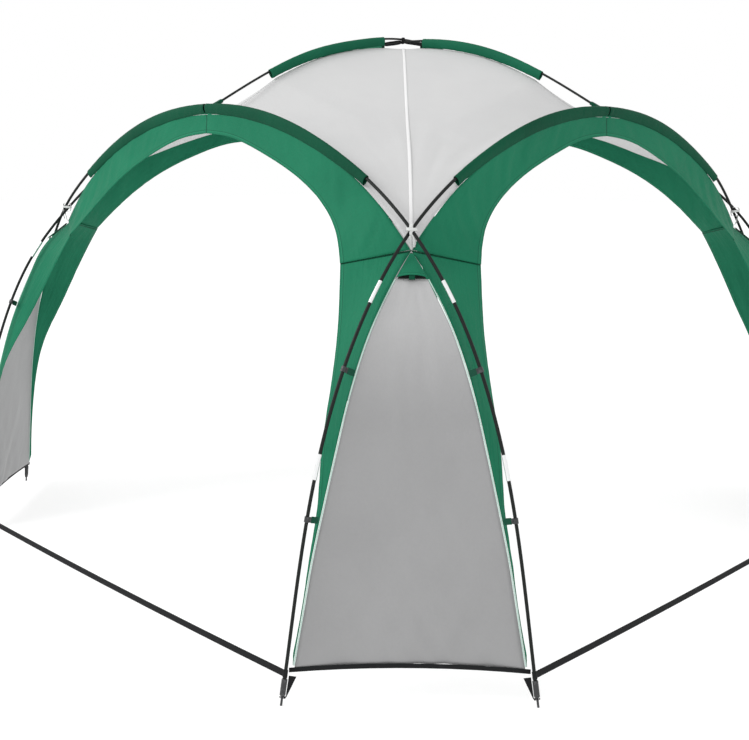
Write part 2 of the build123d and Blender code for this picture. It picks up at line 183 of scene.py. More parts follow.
def new_material(name, color, rough, metallic=0.0, sheen=0.0, coat=0.0, spec=0.5):
    """A material, its nodes and links, and its shader with the values that are the same all over."""
    mat = bpy.data.materials.new(name)
    mat.use_nodes = True
    nodes, links = mat.node_tree.nodes, mat.node_tree.links
    bsdf = nodes["Principled BSDF"]
    bsdf.inputs["Base Color"].default_value = (*color, 1)
    bsdf.inputs["Roughness"].default_value = rough
    bsdf.inputs["Metallic"].default_value = metallic
    bsdf.inputs["Sheen Weight"].default_value = sheen
    bsdf.inputs["Sheen Roughness"].default_value = 0.4
    bsdf.inputs["Coat Weight"].default_value = coat
    bsdf.inputs["Specular IOR Level"].default_value = spec
    return mat, nodes, links, bsdf


def node(nodes, kind, **values):
    """A new node, with each value set on its property or else on its socket of that name."""
    made = nodes.new(kind)
    for key, value in values.items():
        if key in made.bl_rna.properties:
            setattr(made, key, value)
        else:
            made.inputs[key.replace("_", " ")].default_value = value
    return made


def math_node(nodes, links, operation, a, b=None):
    made = nodes.new("ShaderNodeMath")
    made.operation = operation
    for n, value in enumerate((a, b)):
        if value is None:
            continue
        if isinstance(value, (int, float)):
            made.inputs[n].default_value = value
        else:
            links.new(value, made.inputs[n])
    return made.outputs[0]


def mix_color(nodes, links, factor, a, b, blend="MIX"):
    made = nodes.new("ShaderNodeMix")
    made.data_type = "RGBA"
    made.blend_type = blend
    for slot_in, value in ((made.inputs[0], factor), (made.inputs[6], a), (made.inputs[7], b)):
        if isinstance(value, (int, float)):
            slot_in.default_value = value
        elif isinstance(value, tuple):
            slot_in.default_value = (*value, 1)
        else:
            links.new(value, slot_in)
    return made.outputs[2]


def partly(nodes, links, factor, amount, shade, over):
    """A colour laid over another where the factor is 1, with that much cover."""
    return mix_color(nodes, links, math_node(nodes, links, "MULTIPLY", factor, amount), shade, over)


def vary_rough(nodes, links, factor, low, high, bsdf):
    """Roughness that runs between two values with a texture's factor."""
    span = node(nodes, "ShaderNodeMapRange")
    links.new(factor, span.inputs["Value"])
    span.inputs["To Min"].default_value, span.inputs["To Max"].default_value = low, high
    links.new(span.outputs["Result"], bsdf.inputs["Roughness"])


def band_scale(period):
    """Scale of a wave texture whose bands repeat at that period in metres."""
    return math.pi / (10 * period)


def bump(nodes, links, height, strength, distance, normal=None):
    made = node(nodes, "ShaderNodeBump", Strength=strength, Distance=distance)
    links.new(height, made.inputs["Height"])
    if normal is not None:
        links.new(normal, made.inputs["Normal"])
    return made.outputs["Normal"]


def cloth_material(name, color, dark, rough=0.62, thread=0.0011, creases=1.0, hem=None, coords="UV",
                   painted_low_shade=None, seams=(), streaks=0.0):
    """Coated polyester: fine plain weave, faint mottling, soft creases and a sewn hem near v = 0."""
    mat, nodes, links, bsdf = new_material(name, color, rough, sheen=0.02, spec=0.1)
    tex = nodes.new("ShaderNodeTexCoord")
    where, place = tex.outputs[coords], tex.outputs["Object"]
    warp = node(nodes, "ShaderNodeTexWave", Scale=band_scale(thread), bands_direction="X")
    weft = node(nodes, "ShaderNodeTexWave", Scale=band_scale(thread), bands_direction="Y")
    links.new(where, warp.inputs["Vector"])
    links.new(where, weft.inputs["Vector"])
    weave = math_node(nodes, links, "MULTIPLY", warp.outputs["Fac"], weft.outputs["Fac"])
    large = node(nodes, "ShaderNodeTexNoise", Scale=3.2, Detail=3.0, Roughness=0.55)
    small = node(nodes, "ShaderNodeTexNoise", Scale=95.0, Detail=2.0, Roughness=0.6)
    crease = node(nodes, "ShaderNodeTexNoise", Scale=9.0, Detail=4.0, Roughness=0.5, Distortion=1.4)
    for made in (large, small, crease):
        links.new(place, made.inputs["Vector"])
    tone = math_node(nodes, links, "ADD", math_node(nodes, links, "MULTIPLY", large.outputs["Fac"], 0.75),
                     math_node(nodes, links, "MULTIPLY", small.outputs["Fac"], 0.25))
    ramp = nodes.new("ShaderNodeValToRGB")
    links.new(tone, ramp.inputs["Fac"])
    ramp.color_ramp.elements[0].position, ramp.color_ramp.elements[1].position = 0.3, 0.7
    ramp.color_ramp.elements[0].color = (*dark, 1)
    ramp.color_ramp.elements[1].color = (*color, 1)
    shade = ramp.outputs["Color"]
    weave_tone = math_node(nodes, links, "ADD", math_node(nodes, links, "MULTIPLY", weave, 0.1), 0.92)
    shade = mix_color(nodes, links, 1.0, shade, weave_tone, "MULTIPLY")
    # painted shade: below the high height the colour is multiplied by a darker tint, fully below the low
    # one, so the standing sheet darkens towards the ground
    if painted_low_shade:
        low, high, shade_tint = painted_low_shade
        split = nodes.new("ShaderNodeSeparateXYZ")
        links.new(place, split.inputs[0])
        span = node(nodes, "ShaderNodeMapRange", interpolation_type="SMOOTHSTEP")
        links.new(split.outputs["Z"], span.inputs["Value"])
        for key, value in zip(("From Min", "From Max", "To Min", "To Max"), (low, high, 1.0, 0.0)):
            span.inputs[key].default_value = value
        shade = mix_color(nodes, links, span.outputs["Result"], shade,
                          mix_color(nodes, links, 1.0, shade, shade_tint, "MULTIPLY"))
    if hem:
        # a turned hem along v = 0 to v = hem, with a row of stitches near its inner edge
        split = nodes.new("ShaderNodeSeparateXYZ")
        links.new(tex.outputs["UV"], split.inputs[0])
        off = math_node(nodes, links, "ABSOLUTE",
                        math_node(nodes, links, "SUBTRACT", split.outputs["Y"], hem))
        line = math_node(nodes, links, "LESS_THAN", off, 0.0011)
        inside = math_node(nodes, links, "LESS_THAN", split.outputs["Y"], hem)
        stitch_off = math_node(nodes, links, "ABSOLUTE",
                               math_node(nodes, links, "SUBTRACT", split.outputs["Y"], hem - 0.004))
        stitch = node(nodes, "ShaderNodeTexWave", Scale=band_scale(0.0055), bands_direction="X")
        links.new(tex.outputs["UV"], stitch.inputs["Vector"])
        dash = math_node(nodes, links, "MULTIPLY",
                         math_node(nodes, links, "LESS_THAN", stitch_off, 0.0006),
                         math_node(nodes, links, "GREATER_THAN", stitch.outputs["Fac"], 0.35))
        shade = partly(nodes, links, inside, 0.28, shade, dark)
        shade = partly(nodes, links, line, 0.55, shade, tuple(c * 0.35 for c in dark))
        shade = partly(nodes, links, dash, 0.5, shade, tuple(min(1, c * 1.9 + 0.03) for c in color))
    for seam in seams:
        # a sewn seam across the sheet, where its first coordinate is that many metres
        run = nodes.new("ShaderNodeSeparateXYZ")
        links.new(tex.outputs["UV"], run.inputs[0])
        off = math_node(nodes, links, "ABSOLUTE",
                        math_node(nodes, links, "SUBTRACT", run.outputs["X"], seam))
        line = math_node(nodes, links, "LESS_THAN", off, 0.0026)
        shade = partly(nodes, links, line, 0.8, shade, tuple(c * 0.3 for c in dark))
    links.new(shade, bsdf.inputs["Base Color"])
    vary_rough(nodes, links, small.outputs["Fac"], rough - 0.08, rough + 0.08, bsdf)
    soft = bump(nodes, links, crease.outputs["Fac"], 0.35 * creases, 0.006)
    if streaks:
        # fine drag folds along the sheet's run
        stretch = nodes.new("ShaderNodeMapping")
        stretch.inputs["Scale"].default_value = (3.4, 46.0, 1.0)
        links.new(tex.outputs["UV"], stretch.inputs["Vector"])
        pulls = node(nodes, "ShaderNodeTexNoise", Scale=1.0, Detail=3.0, Roughness=0.55, Distortion=0.4)
        links.new(stretch.outputs["Vector"], pulls.inputs["Vector"])
        soft = bump(nodes, links, pulls.outputs["Fac"], streaks, 0.008, soft)
    links.new(bump(nodes, links, weave, 0.35, 0.00012, soft), bsdf.inputs["Normal"])
    return mat


def webbing_material(name, color, light, rib=0.0022, rough=0.7, direction="Z"):
    """Woven tape: ribs across it, a fine cross thread and faint wear."""
    mat, nodes, links, bsdf = new_material(name, color, rough, sheen=0.02, spec=0.12)
    tex = nodes.new("ShaderNodeTexCoord")
    rib_tex = node(nodes, "ShaderNodeTexWave", Scale=band_scale(rib), bands_direction=direction,
                   Distortion=0.6, Detail=1.0)
    cross = node(nodes, "ShaderNodeTexWave", Scale=band_scale(rib * 0.6), bands_direction="DIAGONAL")
    worn = node(nodes, "ShaderNodeTexNoise", Scale=38.0, Detail=4.0, Roughness=0.65)
    for made in (rib_tex, cross, worn):
        links.new(tex.outputs["Object"], made.inputs["Vector"])
    height = math_node(nodes, links, "ADD", rib_tex.outputs["Fac"],
                       math_node(nodes, links, "MULTIPLY", cross.outputs["Fac"], 0.4))
    shade = partly(nodes, links, height, 0.35, color, light)
    worn_at = math_node(nodes, links, "GREATER_THAN", worn.outputs["Fac"], 0.6)
    shade = partly(nodes, links, worn_at, 0.25, shade, light)
    links.new(shade, bsdf.inputs["Base Color"])
    links.new(bump(nodes, links, height, 0.5, 0.0003), bsdf.inputs["Normal"])
    return mat


def pole_material(name, color, light):
    """Wrapped glass fibre rod with a satin lacquer: fine lengthwise grain and faint handling marks."""
    mat, nodes, links, bsdf = new_material(name, color, 0.45, spec=0.22)
    tex = nodes.new("ShaderNodeTexCoord")
    wrap = node(nodes, "ShaderNodeTexWave", Scale=band_scale(0.006), bands_direction="DIAGONAL",
                Distortion=1.2, Detail=2.0)
    marks = node(nodes, "ShaderNodeTexNoise", Scale=60.0, Detail=5.0, Roughness=0.7)
    for made in (wrap, marks):
        links.new(tex.outputs["Object"], made.inputs["Vector"])
    shade = partly(nodes, links, wrap.outputs["Fac"], 0.25, color, light)
    scuff = math_node(nodes, links, "GREATER_THAN", marks.outputs["Fac"], 0.66)
    shade = partly(nodes, links, scuff, 0.4, shade, light)
    links.new(shade, bsdf.inputs["Base Color"])
    vary_rough(nodes, links, marks.outputs["Fac"], 0.38, 0.6, bsdf)
    links.new(bump(nodes, links, wrap.outputs["Fac"], 0.15, 0.0002), bsdf.inputs["Normal"])
    return mat


def metal_material(name, color, rough, grain=0.0016):
    """Drawn tube: turned lines round it and light scratches."""
    mat, nodes, links, bsdf = new_material(name, color, rough, metallic=1.0)
    tex = nodes.new("ShaderNodeTexCoord")
    lines = node(nodes, "ShaderNodeTexWave", Scale=band_scale(grain), bands_direction="Z",
                 Distortion=2.0, Detail=3.0)
    marks = node(nodes, "ShaderNodeTexNoise", Scale=130.0, Detail=4.0, Roughness=0.6)
    for made in (lines, marks):
        links.new(tex.outputs["Object"], made.inputs["Vector"])
    shade = partly(nodes, links, marks.outputs["Fac"], 0.5, color, tuple(c * 0.75 for c in color))
    links.new(shade, bsdf.inputs["Base Color"])
    vary_rough(nodes, links, marks.outputs["Fac"], rough - 0.08, rough + 0.12, bsdf)
    links.new(bump(nodes, links, lines.outputs["Fac"], 0.2, 0.0001), bsdf.inputs["Normal"])
    return mat


def plastic_material(name, color, rough, light):
    """Moulded plastic with a fine grain and rubbed high spots."""
    mat, nodes, links, bsdf = new_material(name, color, rough, spec=0.5, coat=0.1)
    tex = nodes.new("ShaderNodeTexCoord")
    grain = node(nodes, "ShaderNodeTexNoise", Scale=900.0, Detail=2.0, Roughness=0.5)
    rubbed = node(nodes, "ShaderNodeTexNoise", Scale=70.0, Detail=4.0, Roughness=0.6)
    for made in (grain, rubbed):
        links.new(tex.outputs["Object"], made.inputs["Vector"])
    spots = math_node(nodes, links, "GREATER_THAN", rubbed.outputs["Fac"], 0.58)
    shade = partly(nodes, links, spots, 0.3, color, light)
    links.new(shade, bsdf.inputs["Base Color"])
    vary_rough(nodes, links, rubbed.outputs["Fac"], rough - 0.1, rough + 0.15, bsdf)
    links.new(bump(nodes, links, grain.outputs["Fac"], 0.25, 0.0002), bsdf.inputs["Normal"])
    return mat


def net_material(name, color):
    """Close mosquito mesh: a dark knitted grid."""
    mat, nodes, links, bsdf = new_material(name, color, 0.85, spec=0.2)
    tex = nodes.new("ShaderNodeTexCoord")
    cells = node(nodes, "ShaderNodeTexVoronoi", Scale=620.0, feature="DISTANCE_TO_EDGE")
    links.new(tex.outputs["Object"], cells.inputs["Vector"])
    thread = math_node(nodes, links, "LESS_THAN", cells.outputs["Distance"], 0.12)
    links.new(mix_color(nodes, links, thread, color, tuple(c * 3 + 0.02 for c in color)),
              bsdf.inputs["Base Color"])
    links.new(bump(nodes, links, thread, 0.6, 0.0003), bsdf.inputs["Normal"])
    return mat


GREEN, GREEN_DARK = (0.014, 0.188, 0.098), (0.009, 0.150, 0.078)
# the sleeve green is darker than the visor green as painted shade: it stands in for the shade on the sleeve
# bands, and the vent tabs and pole pockets share it
SHADED_SLEEVE_GREEN, SHADED_SLEEVE_DARK = (0.003, 0.086, 0.042), (0.002, 0.058, 0.029)
green = cloth_material("green polyester", GREEN, GREEN_DARK, hem=0.014, creases=1.5)
green_visor = cloth_material("green visor polyester", GREEN, GREEN_DARK, hem=0.014, creases=1.5,
                             seams=(0.0,), streaks=0.35)
green_leg = cloth_material("green leg polyester", GREEN, GREEN_DARK, hem=0.014, creases=1.5,
                           seams=(0.008,), streaks=0.55)
green_sleeve_shaded = cloth_material("green sleeve polyester with painted shade", SHADED_SLEEVE_GREEN, SHADED_SLEEVE_DARK, rough=0.66,
                              creases=1.6)
roof_green = cloth_material("green roof sleeve polyester", (0.009, 0.142, 0.074),
                            (0.005, 0.108, 0.055), creases=1.6)
grey_roof = cloth_material("light grey roof polyester", (0.62, 0.62, 0.62), (0.585, 0.586, 0.588),
                           rough=0.5, creases=0.5)
# its lower part is darkened as painted shade
grey_panel = cloth_material("grey leg polyester", (0.50, 0.50, 0.503), (0.46, 0.46, 0.463), rough=0.45,
                            creases=0.9, painted_low_shade=(0.9, 1.36, (0.72, 0.72, 0.722)))
tape_white = cloth_material("white seam tape", (0.86, 0.86, 0.86), (0.8, 0.8, 0.8), rough=0.4,
                            creases=0.2, coords="Object")
piping_mint = webbing_material("mint piping", (0.42, 0.62, 0.54), (0.72, 0.84, 0.78), rib=0.003)
webbing = webbing_material("black webbing", (0.007, 0.0075, 0.008), (0.028, 0.029, 0.031))
tie_tape = webbing_material("pale tie tape", (0.6, 0.61, 0.6), (0.85, 0.85, 0.84), rib=0.0016)
strap_green = webbing_material("dark green clip webbing", (0.006, 0.05, 0.03), (0.02, 0.12, 0.07), rib=0.002)
pole_black = pole_material("black wrapped glass fibre", (0.005, 0.007, 0.006), (0.02, 0.024, 0.022))
ferrule = metal_material("silver ferrule", (0.9, 0.91, 0.91), 0.36)
ring_black = metal_material("black coated steel", (0.06, 0.06, 0.065), 0.4)
cap_plastic = plastic_material("black cap plastic", (0.02, 0.021, 0.023), 0.35, (0.12, 0.12, 0.125))
net = net_material("black vent mesh", (0.004, 0.006, 0.005))

CAD_LOOKS = {
    "arch_ferrules": ferrule, "roof_ferrules": ferrule, "roof_pole_front_back": pole_black,
    "roof_pole_left_right": pole_black, "seam_tapes": tape_white, "leg_piping": piping_mint,
    "hem_webbing": webbing, "vent_mesh": net, "clip_hooks": cap_plastic, "clip_straps": strap_green,
    "foot_caps": cap_plastic, "webbing_tails": webbing, "crossing_ties": tie_tape, "apex_tie": webbing,
    "pole_pockets": green_sleeve_shaded,
}
CAD_LOOKS.update({f"arch_pole_{s}": pole_black for s in SIDES})
CAD_LOOKS.update({f"ground_strap_{s}": webbing for s in ("front", "right")})
CAD_LOOKS.update({f"foot_ring_{c}_{e}": ring_black for c in CORNERS for e in "ab"})
for name, material in CAD_LOOKS.items():
    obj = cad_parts[name]
    obj.data.materials.clear()
    obj.data.materials.append(material)

ROOT = "shelter"


def piece(obj, replaced, body=ROOT):
    """Hand a finished mesh to the frame: its body and the CAD nodes it replaces."""
    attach(obj, body)
    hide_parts(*replaced)
    return obj


# ---------------------------------------------------------------- roof

ROOF_DROP = 36.4  # from the centre of a roof pole square down to the cloth
CROSS_DROP = 34  # how much further than ARCH_DROP the cloth hangs under a crossing
DIP, DIP_FROM, DIP_LONG = 24, 0.68, 0.32  # dip of the cloth under a roof pole, near the arch

roof_under = []  # the cloth's height under a roof pole, by distance from the apex
for step in range(0, 1033, 86):
    slant = (along(ROOF, step + 5) - along(ROOF, max(step - 5, 0))) / 10
    low = LIFT * max(0, 1 - step / ROOF[1][0]) ** 2
    roof_under.append((step, along(ROOF, step) - low - ROOF_DROP * math.hypot(1, slant)))
roof_under.append((EDGE, ARCH[0][1] - ARCH_DROP))


def roof_top(v):
    """Height of the cloth under a roof pole, from the apex (0) to the arch (1)."""
    dip = DIP * math.sin(math.pi * min(1, max(0, (v - DIP_FROM) / DIP_LONG)))
    return along(roof_under, v * EDGE) - dip


def roof_rim(u):
    """Height of the cloth under an arch pole, from its middle (0) to the crossing (1)."""
    return along(ARCH, u * PLANE) - ARCH_DROP - CROSS_DROP * u**7


def roof_height(u, v):
    """Height of a roof quarter inside its four edges: a Coons patch, less its sag."""
    apex, top, low = roof_top(0), roof_rim(0), roof_rim(1)
    coons = ((1 - u) * roof_top(v) + u * roof_rim(v) + (1 - v) * roof_top(u) + v * roof_rim(u)
             - ((1 - u) * (1 - v) * apex + (u + v - 2 * u * v) * top + u * v * low))
    return coons - SAG * PLANE * 16 * u * (1 - u) * v * (1 - v)


def roof_quarter(seed):
    """Roof cloth of one corner, with puckers along its seams and slack folds towards the crossing."""
    count = 97
    t = np.linspace(0, 1, count)
    grid = np.zeros((count, count, 3))
    uv = np.zeros((count, count, 2))
    for i, u in enumerate(t):
        for j, v in enumerate(t):
            z = roof_height(u, v)
            inner = min(1.0, 12 * u * v * (1 - u) * (1 - v) * 4)
            diagonal = abs(u - v)
            pucker = 1.2 * math.exp(-diagonal * 22) * fractal((u + v) * 24, 0.3, seed)
            pull = math.hypot(1 - u, 1 - v)
            fold = 5.0 * math.exp(-((pull - 0.35) / 0.3) ** 2) * fractal(
                math.atan2(1 - u, 1 - v + 1e-6) * 7, pull * 1.2, seed + 9)
            slack = 4.0 * fractal(u * 3.1, v * 3.1, seed + 17, 3)
            seam_pull = 1.4 * (math.exp(-u * 26) * fractal(v * 30, 1.7, seed + 5)
                               + math.exp(-v * 26) * fractal(u * 30, 4.2, seed + 6))
            grid[i, j] = (0.4 + u * (EDGE - 0.4), -0.4 - v * (EDGE - 0.4),
                          z + inner * (pucker + fold + slack) + seam_pull * min(1, 40 * u * v))
            uv[i, j] = (u * 1.2, 0.1 + v * 1.2)
    return grid * MM, uv


TAPE_WIDE, TAPE_OVER = 13, 1.9  # width, and height over the cloth


def seam_tape(grid):
    """Taped seam along a roof quarter's diagonal, following its cloth."""
    line = np.array([grid[i, i] for i in range(5, len(grid) - 2)]) / MM
    line[:, 2] += TAPE_OVER
    across = np.array((1, 1, 0)) / ROOT2
    tape = np.stack([line + across * x for x in np.linspace(-TAPE_WIDE / 2, TAPE_WIDE / 2, 4)], axis=1)
    over = np.repeat(np.linspace(0, TAPE_WIDE, 4)[None], len(line), 0)
    return tape * MM, edge_uv(lengths(line), over)


for k, name in enumerate(CORNERS):
    grid, uv = roof_quarter(k + 1)
    roof = make_grid(f"roof_cloth_{name}", turned(grid, k), grey_roof, uv)
    piece(roof, [f"roof_panel_{name}"])
    strip, uv = seam_tape(grid)
    tape = make_grid(f"roof_tape_{name}", turned(strip, k), tape_white, uv, thick=0.0008)
    piece(tape, ["seam_tapes"])

# ---------------------------------------------------------------- visors

# the visor's top edge lies a little over the roof's rim, more in the middle and less at the crossing
TOP_STEPS = (0, 80, 160, 260, 405, 809, 945, 1060)
OVER_RIM, OVER_MIDDLE, UNDER_END = 4, 12, 9
MIDDLE_LONG = 180

knot = corner(*KNOT)
visor_top = [(s, -PLANE, roof_rim(s / PLANE) + OVER_RIM + OVER_MIDDLE * math.exp(-(s / MIDDLE_LONG) ** 2)
              - UNDER_END * (s / TOP_STEPS[-1]) ** 6) for s in TOP_STEPS]
visor_top.append((knot[0] - 1.5, knot[1] - 1.5, knot[2] + 1))


def visor(seed):
    """Both halves of a visor, from the sleeve down to the hemmed free edge, with drag lines."""
    count, rows = 101, 17
    top = smooth_curve(visor_top, count)
    low = smooth_curve([(s, -y, z) for s, y, z in VISOR_EDGE], count)
    half = np.stack([low + (top - low) * r for r in np.linspace(0, 1, rows)], axis=1)
    left = half[:0:-1].copy()
    left[..., 0] *= -1
    grid = np.concatenate([left, half])
    run = lengths(grid[:, 0])
    run -= run[-1] / 2
    drop = np.linalg.norm(grid - grid[:, :1], axis=-1)
    out = outward(grid)
    total = run[-1]
    for i in range(len(grid)):
        s = abs(run[i]) / total
        for j in range(rows):
            r = j / (rows - 1)
            mid = math.sin(math.pi * min(1, r * 0.9 + 0.05))
            slant = run[i] / 90 + (1 if run[i] > 0 else -1) * r * (0.9 + 2.2 * s)
            free = min(1.0, (total - abs(run[i])) / 50)  # calm towards the leg seams
            drag = 5.5 * mid * fractal(slant * 1.15, r * 0.5, seed) * (0.5 + 0.9 * s)
            fine = 2.4 * mid * fractal(slant * 4.1, r * 0.9, seed + 5) * (0.35 + 1.3 * s)
            gather = 1.8 * (1 - r) ** 2 * fractal(run[i] / 42, 2.0, seed + 3)
            body = -4.2 * mid * (1 - 0.7 * s)
            centre = 1.2 * math.exp(-(run[i] / 9) ** 2) * (r > 0)
            under = 1.5 * (1 - free)
            grid[i, j] += out[i, j] * (free * (drag + fine + gather * 0.7) + body - centre + under)
    return grid * MM, edge_uv(run, drop)


for k, side in enumerate(SIDES):
    grid, uv = visor(k + 21)
    cloth = make_grid(f"visor_cloth_{side}", turned(grid, k), green_visor, uv)
    piece(cloth, [f"visor_{side}"])

# ---------------------------------------------------------------- legs


TUCKED = 9  # seam allowance of a leg strip, behind the visor
CALM_LONG = 60  # distance over which its wrinkles grow from the seam


def leg_strip(seed):
    """Green strip between the visor's end, the piped seam and the free edge of the opening."""
    count, rows = 91, 11
    inner = [corner(-4, KNOT[1] - 1, KNOT[2] - 5), corner(-31, 1669, 1410)]
    inner += [corner(-a - 3.6, r - 1, z) for a, r, z in LEG_SEAM]
    outer = [(s, -y, z) for s, y, z in LEG_EDGE]
    outer[0] = (928, -1275, 1398.5)
    a, b = smooth_curve(inner, count), smooth_curve(outer, count)
    grid = np.stack([b + (a - b) * r for r in np.linspace(0, 1, rows)], axis=1)
    way = grid[2] - grid[0]
    tuck = grid[0] - way / np.linalg.norm(way, axis=-1, keepdims=True) * TUCKED
    grid = np.concatenate([tuck[None], grid])
    out = outward(grid)
    run = lengths(grid[:, 0])
    drop = np.linalg.norm(grid - grid[:, :1], axis=-1)
    for i in range(len(grid)):
        calm = min(1.0, max(0.0, (run[i] - TUCKED) / CALM_LONG))
        for j in range(rows):
            r = j / (rows - 1)
            width = drop[i, -1] / 160
            mid = math.sin(math.pi * r)
            drag = 3.2 * mid * width * fractal(run[i] / 150 + r * 1.3, r * 1.1, seed)
            folds = 4.2 * mid * width * fractal(run[i] / 420, r * 5.2, seed + 6, 3)
            ripple = 1.1 * (1 - r) * fractal(run[i] / 46, 5.0, seed + 2)
            grid[i, j] += out[i, j] * (calm * (drag + folds + ripple) - 1.8 * (1 - calm))
    return grid * MM, edge_uv(run, drop)


def seam_at(z, column):
    """Half width (column 0) or outward distance (column 1) of the leg seam at a height."""
    return along(sorted((row[2], row[column]) for row in LEG_SEAM), z, level_start=False)


PANEL_TOP = LEG_SEAM[0][2]


def leg_panel(seed):
    """Grey panel between the piped seams, slightly slack, with long slanting creases near the ground."""
    rows, cols = 121, 49
    grid = np.zeros((rows, cols, 3))
    uv = np.zeros((rows, cols, 2))
    for j in range(cols):
        c = 2 * j / (cols - 1) - 1
        bottom = HEM_UP + HEM_RISE * (1 - c * c)
        for i in range(rows):
            t = i / (rows - 1)
            z = PANEL_TOP + (bottom - PANEL_TOP) * t
            half, out = seam_at(z, 0) - 3, seam_at(z, 1)
            inner = 1 - c * c
            low = max(0.0, (700 - z) / 600)
            x = c * half
            creases = 10.0 * low * fractal((x + z * 0.55 + 40) / 120, (z - x) / 900, seed, 3)
            creases += 7.5 * low * fractal((x - z * 0.5) / 140, (z + x) / 800, seed + 4, 2)
            upper = 3.5 * (1 - low) * fractal(c * 2.2, z / 260, seed + 8, 2)
            tug = 2.5 * math.exp(-((1 - abs(c)) * half / 45) ** 2) * fractal(z / 55, 3.0 + c, seed + 11)
            out_at = out + inner * (creases + upper) + tug * (1 - abs(c) ** 8) - 4 * inner
            grid[i, j] = corner(x, out_at, z)
            uv[i, j] = (x * MM, (z - bottom) * MM)
    return grid * MM, uv


def mirrored(grid):
    """The corner's other side: swaps a point's distances from the two side planes."""
    return np.stack([-grid[..., 1], -grid[..., 0], grid[..., 2]], axis=-1)


for k, name in enumerate(CORNERS):
    for n, (end, flip) in enumerate((("a", False), ("b", True))):
        grid, uv = leg_strip(40 + 2 * k + n)
        grid = mirrored(grid) if flip else grid
        cloth = make_grid(f"leg_strip_cloth_{name}_{end}", turned(grid, k), green_leg, uv)
        piece(cloth, [f"leg_strips_{name}"])
    grid, uv = leg_panel(60 + k)
    cloth = make_grid(f"leg_panel_cloth_{name}", turned(grid, k), grey_panel, uv)
    piece(cloth, [f"corner_panel_{name}"])

# ---------------------------------------------------------------- pole sleeves


def arch_points(kind):
    """Centre line of an arch pole: kind 0 passes over its neighbours at the crossings, 1 under."""
    over = 1 if kind == 0 else -1
    pts = []
    for s, z in [(-s, z) for s, z in ARCH[:0:-1]] + ARCH:
        at = abs(s) == PLANE
        pts.append((s, -PLANE - (SPREAD * over if at else 0), z + (LIFT * over if at else 0)))
    return smooth_curve(pts, 1201)


def roof_points(kind):
    """Centre line of a roof pole: kind 0 passes over the other at the apex, 1 under."""
    lift = LIFT if kind == 0 else -LIFT
    pts = [(0, -y, z) for y, z in ROOF[:0:-1]] + [(0, 0, ROOF[0][1] + lift)]
    pts += [(0, y, z) for y, z in ROOF[1:]]
    return smooth_curve(pts, 901)


def sleeve(path, axis, start, end, wide, deep, seed, count):
    """Sewn cloth tube round a pole: snug over the pole on top, flat and gathered below.

    wide is half its width, and deep gives how far it hangs below the pole's centre at a distance along it.
    """
    keep = (path[:, axis] >= start) & (path[:, axis] <= end)
    line = path[keep]
    line = line[np.linspace(0, len(line) - 1, count).round().astype(int)]
    tangent = np.gradient(line, axis=0)
    tangent /= np.linalg.norm(tangent, axis=1, keepdims=True)
    side = np.cross(tangent, (0, 0, 1))
    side /= np.linalg.norm(side, axis=1, keepdims=True)
    up = np.cross(side, tangent)
    run = lengths(line)
    around = 28
    top = wide - 1.4
    grid = np.zeros((around, count, 3))
    uv = np.zeros((around, count, 2))
    for a in range(around):
        angle = 2 * math.pi * a / around
        x, y = math.cos(angle), math.sin(angle)
        below = 0.5 - 0.5 * y
        pinch = 1 - 0.4 * below**2
        for i in range(count):
            depth = deep(abs(line[i][axis]))
            tall, drop = (top + depth) / 2, (depth - top) / 2
            to_end = min(run[i], run[-1] - run[i])
            ends = 1 + 1.2 * math.exp(-to_end / 90)
            ripple = ends * (1.4 * below * fractal(run[i] / 26, 1.0 + x, seed)
                             + 0.6 * fractal(run[i] / 11, x * 2, seed + 2))
            wave = 1.8 * below * fractal(run[i] / 75, 6.0, seed + 4)
            hem = 0.9 * (to_end < 16)
            sideways = x * (wide * pinch + ripple * 0.6 + hem) + wave
            upwards = y * (tall + hem * 0.6) - drop + ripple * 0.5
            grid[a, i] = line[i] + (side[i] * sideways + up[i] * upwards)
            uv[a, i] = (run[i], 40 + a * 2.2)
    return grid * MM, uv * MM


def arch_sleeve_depth(s):
    """Shallow where the two halves meet, deepest about half way down."""
    return 25 + 14 * math.sin(math.pi * min(1, (s / 1000)) ** 0.8) ** 0.8


def roof_sleeve_depth(s):
    """Deepest half way along the sleeve."""
    start, end = ROOF_SLEEVE
    return 30 + 5 * math.sin(math.pi * (s - start) / (end - start))


ARCH_TUBE, ROOF_TUBE = 10.4, 8.8  # half widths of the sleeves
HALF_GAP = 0.6  # half the gap between the two halves of an arch sleeve


arch_line = [arch_points(0), arch_points(1)]
roof_line = [roof_points(0), roof_points(1)]
for k, side in enumerate(SIDES):
    for end, (start, stop) in (("a", (-SLEEVE_END, -HALF_GAP)), ("b", (HALF_GAP, SLEEVE_END))):
        grid, uv = sleeve(arch_line[k % 2], 0, start, stop, ARCH_TUBE, arch_sleeve_depth, 80 + k, 181)
        tube = make_grid(f"arch_sleeve_cloth_{side}_{end}", turned(grid, k), green_sleeve_shaded, uv, ring=True)
        piece(tube, [f"arch_sleeve_{side}"])
    grid, uv = sleeve(roof_line[k % 2], 1, *ROOF_SLEEVE_SEEN, ROOF_TUBE, roof_sleeve_depth, 90 + k, 141)
    tube = make_grid(f"roof_sleeve_cloth_{side}", turned(grid, k + 2), roof_green, uv, ring=True)
    piece(tube, [f"roof_sleeve_{side}"])

# ---------------------------------------------------------------- vent hoods

knot_at = np.array(corner(*KNOT))
slope = np.array(corner(0, *LEG_SEAM[0][1:])) - knot_at
LONG = float(np.linalg.norm(slope))
down = slope / LONG
across = np.array((1, 1, 0)) / ROOT2
face = np.cross(down, across)
face *= 1 if face[2] > 0 else -1
HOOD_FROM, HOOD_TO = 17, LONG - 1  # where the hood starts and ends, down from the crossing
HOOD_STAND, HOOD_LIFT = 6.8, 8  # how far its mouth stands off the mesh, and its middle above that
HOOD_HALF, HOOD_WIDENS, MOUTH_ARC = 6, 46, 4  # half its top, what that gains by the mouth, the mouth's bow
TAB_WIDE, TAB_LONG, TAB_SINK = 20, 27, 2.4


